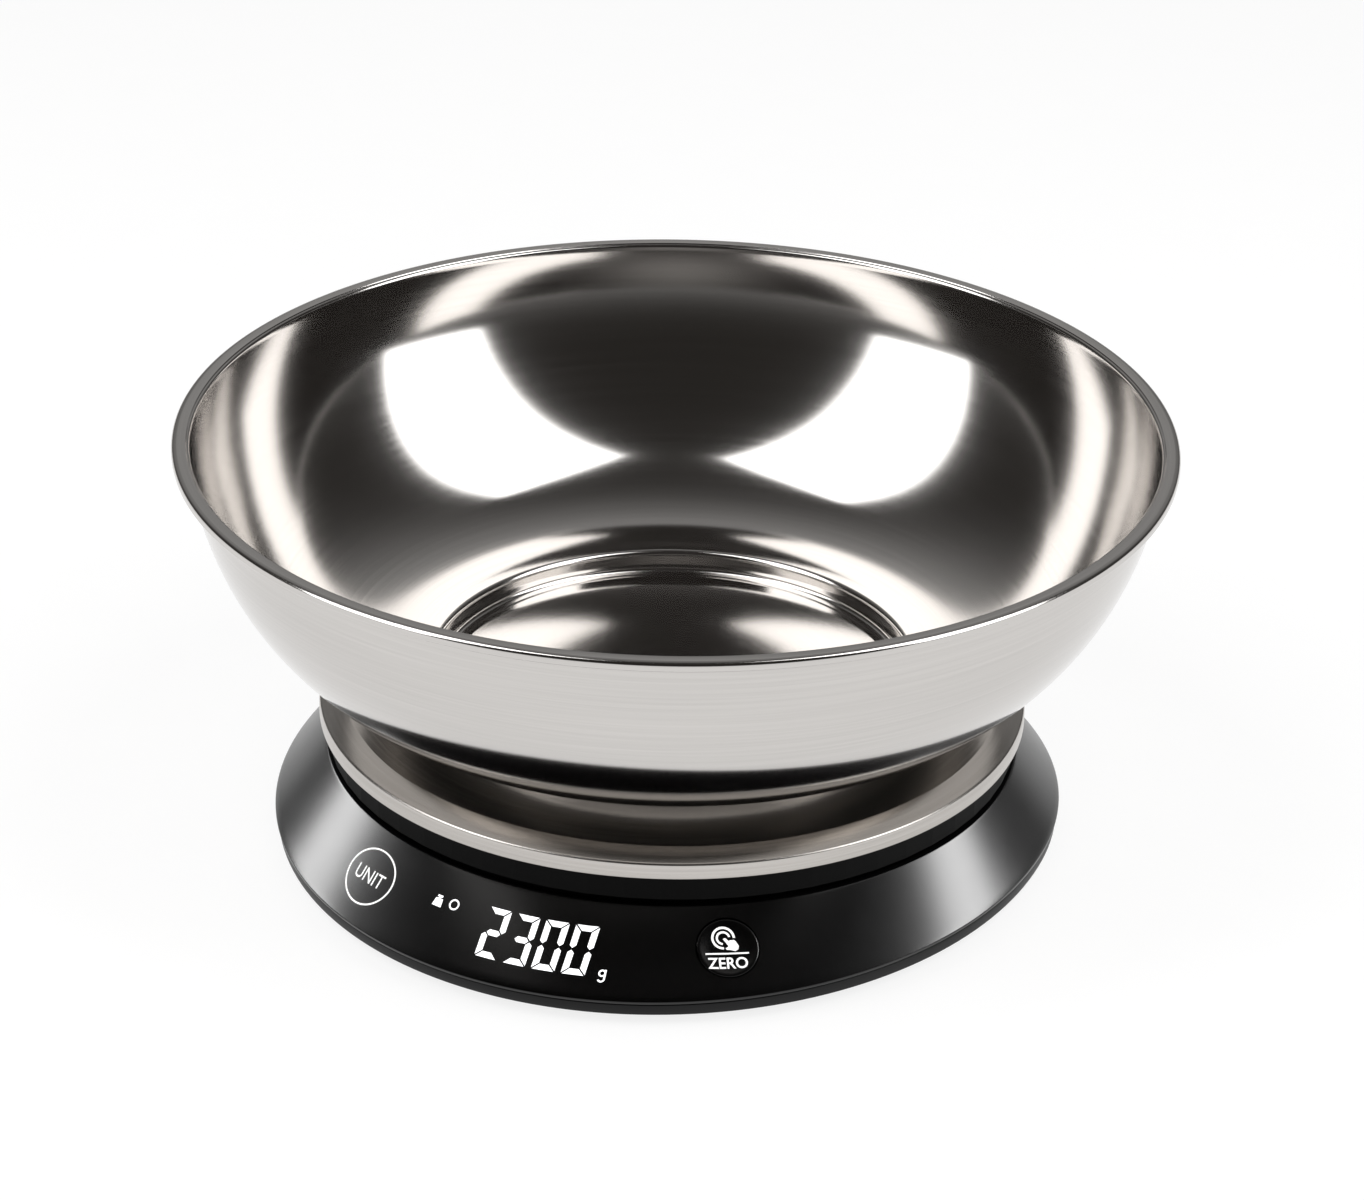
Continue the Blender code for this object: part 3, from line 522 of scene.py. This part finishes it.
def makeRing():
    slope = [(ring["neck"] + share * (ring["foot"] - ring["neck"]),
              ring["top"] + share * (ring["footHeight"] - ring["top"]))
             for share in [i / 20 for i in range(1, 20)]]
    ends = rounded([(ring["lip"], ring["lipBottom"], 0), (ring["lip"], 20.25, 0.3),
                    (ring["neck"], ring["top"], 0.5), slope[0] + (0,)])[1:-1]
    feet = rounded([slope[-1] + (0,), (ring["foot"] - 0.05, ring["footHeight"] - 0.05, 0.5),
                    (96.1, ring["seam"], 0.2), (94.7, ring["seam"], 0), (94.4, 6.4, 0)])[1:]
    outline = ([Vector((ring["lip"], ring["lipBottom"]))] + ends + [Vector(p) for p in slope] + feet
               + [Vector((84.1, ring["lipBottom"]))])
    shell = spun("controlRing", outline, closed=True, steps=288)
    stretchFront(shell)
    hole = rod(ring["zeroRadius"] + 0.3, -6, 6, 0, 0, 96)
    turn = ringTurn(ring["zeroAngle"], ring["middle"])
    hole.matrix_world = Matrix.Translation(ringPoint(ring["zeroAngle"], ring["middle"]) * mm) @ turn
    cutWith(shell, [hole])
    bpy.ops.object.select_all(action="DESELECT")
    shell.select_set(True)
    finishedMesh(shell)
    dress(shell, glossBlack, "base", ("fascia_ring",))


makeRing()

# sizes in mm, heights from the slope round it; a dished cap that rises from its flat middle to its rim
zeroKey = {"dish": -0.35, "dishFlat": 3.2, "rim": 6.5, "rimHeight": 0.12}


def dishHeight(radius):
    share = max(0.0, radius - zeroKey["dishFlat"]) / (zeroKey["rim"] - zeroKey["dishFlat"])
    return zeroKey["dish"] + (zeroKey["rimHeight"] - zeroKey["dish"]) * share ** 2


def makeZeroKey():
    edge = ring["zeroRadius"]
    top = [(r, dishHeight(r), 0) for r in [i * zeroKey["rim"] / 16 for i in range(17)]]
    outline = rounded(top + [(edge, zeroKey["rimHeight"], 0.35), (edge, -2.2, 0), (edge + 0.7, -2.2, 0),
                             (edge + 0.7, -2.8, 0), (2.0, -2.8, 0), (2.0, -3.5, 0), (0, -3.5, 0)], 5)
    key = spun("zeroKey", outline, steps=128, angle=40)
    turn = ringTurn(ring["zeroAngle"], ring["middle"])
    key.data.transform(Matrix.Translation(ringPoint(ring["zeroAngle"], ring["middle"]) * mm) @ turn)
    dress(key, glossBlack, "zero_button", ("zero_button",))


makeZeroKey()
print("control ring and key are made")

# sizes in mm; the bay holds three cells and opens downwards
case = {"floor": 4.0, "bottom": 2.0, "bay": (56.0, 34.6), "bayWall": 2.2, "bayMiddle": 34.0, "bayTop": 16.2,
        "doorLedge": 2.4, "doorThick": 1.3, "footRing": 74.0, "footAngles": (40, 140, 220, 320),
        "footRadius": 7.0}


def makeCase():
    outline = rounded([(0, case["floor"], 0), (93.4, case["floor"], 0), (93.9, 5.3, 0.2), (95.9, 5.3, 0.25),
                       (95.6, case["bottom"], 0.7), (0, case["bottom"], 0)])
    shell = spun("lowerCase", outline, steps=192)
    stretchFront(shell)
    wide, deep = case["bay"]
    wall = 2 * case["bayWall"]
    middle = case["bayMiddle"]
    cutWith(shell, [block((wide + wall, deep + wall, case["bayTop"] - 3),
                          (0, middle, (case["bayTop"] + 3) / 2))], "UNION")
    ledge = 2 * case["doorLedge"] + 0.6
    recessTop = case["bottom"] + case["doorThick"] + 0.3
    tools = [block((wide, deep, 14.6), (0, middle, 7.3)),
             block((wide + ledge, deep + ledge, 4), (0, middle, recessTop - 2))]
    for angle in case["footAngles"]:
        x = case["footRing"] * math.cos(math.radians(angle))
        y = case["footRing"] * math.sin(math.radians(angle))
        tools.append(rod(case["footRadius"] + 0.3, 1, 2.7, x, y))
        tools.append(rod(3.2, 1, 3.9, x, y, 32))  # for the case screw under the foot
    for x in (-22, -30):
        tools.append(rod(3.5, 1, 3.0, x, 0, 32))  # for the load cell's screws
    cutWith(shell, tools)
    bpy.ops.object.select_all(action="DESELECT")
    shell.select_set(True)
    finishedMesh(shell)
    dress(shell, satinBlack, "base", ("bottom_cover",))


def makeFeet():
    edge = case["footRadius"]
    for number, angle in enumerate(case["footAngles"], 1):
        outline = rounded([(0, 2.4, 0), (edge, 2.4, 0.4), (edge, 0.05, 0.5), (5.6, 0.0, 0.1),
                           (5.4, 0.35, 0.1), (5.0, 0.35, 0.1), (4.8, 0.0, 0.1), (0, 0.0, 0)], 4)
        pad = spun(f"rubberFoot{number}", outline, steps=64)
        pad.data.transform(Matrix.Translation((case["footRing"] * mm * math.cos(math.radians(angle)),
                                               case["footRing"] * mm * math.sin(math.radians(angle)), 0)))
        dress(pad, footRubber, "base", (f"foot_{number}",))


makeCase()
makeFeet()
print("lower case and feet are made")

# sizes in mm, angles in degrees from the front, down as a share of the slope
marks = {"rise": 0.03, "unitAngle": -30.7, "unitDown": 0.5, "unitRadius": 6.95, "unitLine": 0.42,
         "displayAngle": 0.5, "displayDown": 0.52, "digit": (5.6, 12.7), "digitPitch": 7.13, "segment": 1.5,
         "segmentGap": 0.24, "gramAngle": 11.2, "gramDown": 0.75, "weightAngle": -16.9, "weightDown": 0.385,
         "steadyAngle": -14.1, "steadyDown": 0.369, "unitSqueeze": 1.13, "unitWord": (10.0, 3.5),
         "unitTilt": 2, "reading": ("abged", "abgcd", "abcdef", "abcdef")}  # the reading is 2300


def flatPolygon(points):
    # a flat face of the given outline in mm, made by moving a circle's corners
    bpy.ops.mesh.primitive_circle_add(vertices=len(points), radius=mm, fill_type="NGON")
    piece = bpy.context.object
    for corner, point in zip(piece.data.vertices, points):
        corner.co = (point[0] * mm, point[1] * mm, 0)
    return piece


def flatRing(radius, line, start=0.0, end=360.0, centre=(0, 0), squeeze=1.0):
    # a ring or arc of the given line width in mm, made of short flat faces
    steps = max(8, int((end - start) / 5))
    angles = [math.radians(start + (end - start) * i / steps) for i in range(steps + 1)]
    out, inside = [[(centre[0] + squeeze * reach * math.cos(a), centre[1] + reach * math.sin(a))
                    for a in angles] for reach in (radius + line / 2, radius - line / 2)]
    return [flatPolygon([out[i], out[i + 1], inside[i + 1], inside[i]]) for i in range(steps)]


def flatWord(text, width, height, centre, weight=0.0, tilt=0.0):
    # a word as a flat mesh of the given size in mm, with its strokes thickened by weight
    bpy.ops.object.text_add()
    word = bpy.context.object
    word.data.body = text
    word.data.resolution_u = 4
    word.data.offset = weight
    bpy.ops.object.convert(target="MESH")
    xs = [p.co.x for p in word.data.vertices]
    ys = [p.co.y for p in word.data.vertices]
    place = (Matrix.Translation((centre[0] * mm, centre[1] * mm, 0))
             @ Matrix.Rotation(math.radians(tilt), 4, "Z")
             @ Matrix.Diagonal((width * mm / (max(xs) - min(xs)), height * mm / (max(ys) - min(ys)), 1, 1))
             @ Matrix.Translation((-(max(xs) + min(xs)) / 2, -(max(ys) + min(ys)) / 2, 0)))
    word.data.transform(place)
    return word


def joined(name, pieces):
    bpy.ops.object.select_all(action="DESELECT")
    for piece in pieces:
        piece.select_set(True)
    bpy.context.view_layer.objects.active = pieces[0]
    bpy.ops.object.join()
    whole = bpy.context.object
    whole.name = name
    bpy.ops.object.mode_set(mode="EDIT")
    bpy.ops.mesh.select_all(action="SELECT")
    bpy.ops.mesh.remove_doubles(threshold=0.000001)
    bpy.ops.mesh.quads_convert_to_tris()
    bpy.ops.mesh.subdivide(number_cuts=1)
    bpy.ops.mesh.normals_make_consistent(inside=False)
    bpy.ops.object.mode_set(mode="OBJECT")
    return whole


def wrapOnRing(piece, angle, down):
    # bends a flat mark round the sloping ring, X along the ring and Y up the slope
    slope = (ringPoint(angle, 0.0) - ringPoint(angle, 1.0)).length
    for point in piece.data.vertices:
        spotDown = down - point.co.y / mm / slope
        step = (ringPoint(angle + 0.5, spotDown) - ringPoint(angle - 0.5, spotDown)).length
        spot = ringPoint(angle + point.co.x / mm / step, spotDown, marks["rise"])
        point.co = spot * mm
    faceOutwards(piece)


def faceOutwards(piece):
    # turns a mark's faces up, so that they point out of the ring
    piece.data.update()
    if sum(face.normal.z for face in piece.data.polygons) < 0:
        piece.data.flip_normals()


def segmentShapes(lit):
    # the lit ones of a digit's seven segments: a top, b and c right, d bottom, e and f left, g middle
    wide, tall = marks["digit"]
    t = marks["segment"]
    s = marks["segmentGap"]
    half = tall / 2
    shapes = {
        "a": [(s, tall), (wide - s, tall), (wide - t - s, tall - t), (t + s, tall - t)],
        "d": [(s, 0), (wide - s, 0), (wide - t - s, t), (t + s, t)],
        "b": [(wide, tall - s), (wide, half + t * 0.45 + s), (wide - t / 2, half + s),
              (wide - t, half + t / 2 + s), (wide - t, tall - t - s)],
        "c": [(wide, s), (wide, half - t * 0.45 - s), (wide - t / 2, half - s),
              (wide - t, half - t / 2 - s), (wide - t, t + s)],
        "f": [(0, tall - s), (0, half + t * 0.45 + s), (t / 2, half + s), (t, half + t / 2 + s),
              (t, tall - t - s)],
        "e": [(0, s), (0, half - t * 0.45 - s), (t / 2, half - s), (t, half - t / 2 - s), (t, t + s)],
        "g": [(t / 2 + 1.4 * s, half), (t + s, half + t / 2), (wide - t - s, half + t / 2),
              (wide - t / 2 - 1.4 * s, half), (wide - t - s, half - t / 2), (t + s, half - t / 2)],
    }
    return [shapes[key] for key in lit]


def makeDisplay():
    wide, tall = marks["digit"]
    pitch = marks["digitPitch"]
    start = -(3 * pitch + wide) / 2
    pieces = []
    for place, lit in enumerate(marks["reading"]):
        for shape in segmentShapes(lit):
            pieces.append(flatPolygon([(start + place * pitch + x, y - tall / 2) for x, y in shape]))
    digits = joined("displayDigits", pieces)
    wrapOnRing(digits, marks["displayAngle"], marks["displayDown"])
    dress(digits, litSegment, "base")

    gram = joined("gramMark", flatRing(0.7, 0.4, 0, 360, (-0.1, 0.5))
                  + flatRing(0.7, 0.4, 200, 360, (-0.1, -0.9))
                  + [flatPolygon([(0.4, -0.95), (0.8, -0.95), (0.8, 1.4), (0.4, 1.4)])])
    wrapOnRing(gram, marks["gramAngle"], marks["gramDown"])
    dress(gram, litSegment, "base")

    weight = joined("weightMark", [flatPolygon([(-1.3, -1.45), (1.3, -1.45), (1.0, 0.6), (-1.0, 0.6)]),
                                   flatPolygon([(-0.35, 0.6), (0.35, 0.6), (0.35, 0.95), (-0.35, 0.95)]),
                                   flatPolygon([(-0.7, 0.95), (0.7, 0.95), (0.7, 1.45), (-0.7, 1.45)])])
    wrapOnRing(weight, marks["weightAngle"], marks["weightDown"])
    dress(weight, litSegment, "base")

    steady = joined("steadyMark", flatRing(1.2, 0.42, squeeze=0.95))
    wrapOnRing(steady, marks["steadyAngle"], marks["steadyDown"])
    dress(steady, litSegment, "base")


def makeUnitMark():
    pieces = flatRing(marks["unitRadius"], marks["unitLine"], squeeze=marks["unitSqueeze"])
    pieces.append(flatWord("UNIT", *marks["unitWord"], (0, 0), tilt=marks["unitTilt"]))
    mark = joined("unitMark", pieces)
    wrapOnRing(mark, marks["unitAngle"], marks["unitDown"])
    dress(mark, inkWithPaintedGlow, "base")


# sizes in mm about the key's middle: two arcs, a pressing hand's outline about their centre, and a word
zeroPrint = {"arcs": (-0.85, 2.55), "tilt": -3, "word": (9.3, 2.9), "wordPlace": (-0.3, -3.65),
             "wordWeight": 0.018,
             "hand": [(0.1, -0.05), (0.5, 0.0), (1.25, -0.75), (1.6, -0.5), (2.0, -0.6), (2.4, -0.45),
                      (2.8, -0.8), (3.5, -2.0), (3.3, -2.8), (2.6, -3.3), (1.6, -3.0), (0.6, -2.9),
                      (0.35, -2.5), (0.9, -2.2), (1.1, -2.0), (0.1, -0.5), (-0.1, -0.3)],
             "line": [(-5.3, -1.5), (4.8, -1.5), (4.8, -1.1), (-5.3, -1.1)]}


def makeZeroMark():
    middle = zeroPrint["arcs"]
    pieces = flatRing(2.5, 0.55, 0, 270, middle) + flatRing(1.45, 0.5, 10, 262, middle)
    pieces.append(flatPolygon([(middle[0] + x, middle[1] + y) for x, y in zeroPrint["hand"]]))
    pieces.append(flatPolygon(zeroPrint["line"]))
    pieces.append(flatWord("ZERO", *zeroPrint["word"], zeroPrint["wordPlace"], zeroPrint["wordWeight"]))
    mark = joined("zeroMark", pieces)
    mark.data.transform(Matrix.Rotation(math.radians(zeroPrint["tilt"]), 4, "Z"))
    for point in mark.data.vertices:
        point.co.z = (dishHeight(point.co.xy.length / mm) + marks["rise"]) * mm
    turn = ringTurn(ring["zeroAngle"], ring["middle"])
    mark.data.transform(Matrix.Translation(ringPoint(ring["zeroAngle"], ring["middle"]) * mm) @ turn)
    faceOutwards(mark)
    dress(mark, inkWithPaintedGlow, "zero_button")


makeDisplay()
makeUnitMark()
makeZeroMark()
print("marks are printed")

for markName in ("displayDigits", "gramMark", "weightMark", "steadyMark", "unitMark", "zeroMark"):
    bpy.data.objects[markName].visible_glossy = False  # keeps them out of the bowl's reflections

# the ring's softboxes light only the ring and its key, and the bowl's light everything else
glossPieces = [bpy.data.objects["controlRing"], bpy.data.objects["zeroKey"]]
lightOnly([lamps["ringBoxLeft"], lamps["ringBoxRight"]], glossPieces, True)
lightOnly([lamps["bowlBoxLeft"], lamps["bowlBoxRight"]], glossPieces, False)
